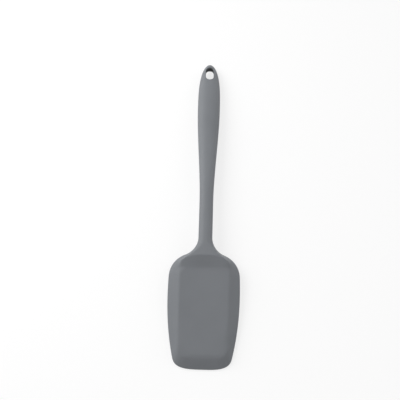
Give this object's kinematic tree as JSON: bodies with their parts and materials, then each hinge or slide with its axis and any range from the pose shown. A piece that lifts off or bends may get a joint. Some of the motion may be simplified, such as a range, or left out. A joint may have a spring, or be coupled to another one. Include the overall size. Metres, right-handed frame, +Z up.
{
  "type": "silicone spoon",
  "caption": "One-piece silicone cooking spoon with a flat-backed scraper bowl, an oval grip with a hanging hole, and a stiff nylon core inside its handle.",
  "frame": {"origin": "middle of the spoon's footprint, on the table that it lies on with the bowl facing down", "axes": "+Y along the spoon from the tip of the bowl to the end of the handle, +X across it, +Z up, out of the flat back of the bowl"},
  "size_m": [0.0628, 0.285, 0.0188],
  "materials": {
    "silicone": "matte moulded silicone, cool mid grey",
    "nylon": "moulded glass-filled nylon, black"
  },
  "bodies": {
    "root": {"silicone_body": "silicone", "handle_core": "nylon"}
  },
  "joints": []
}
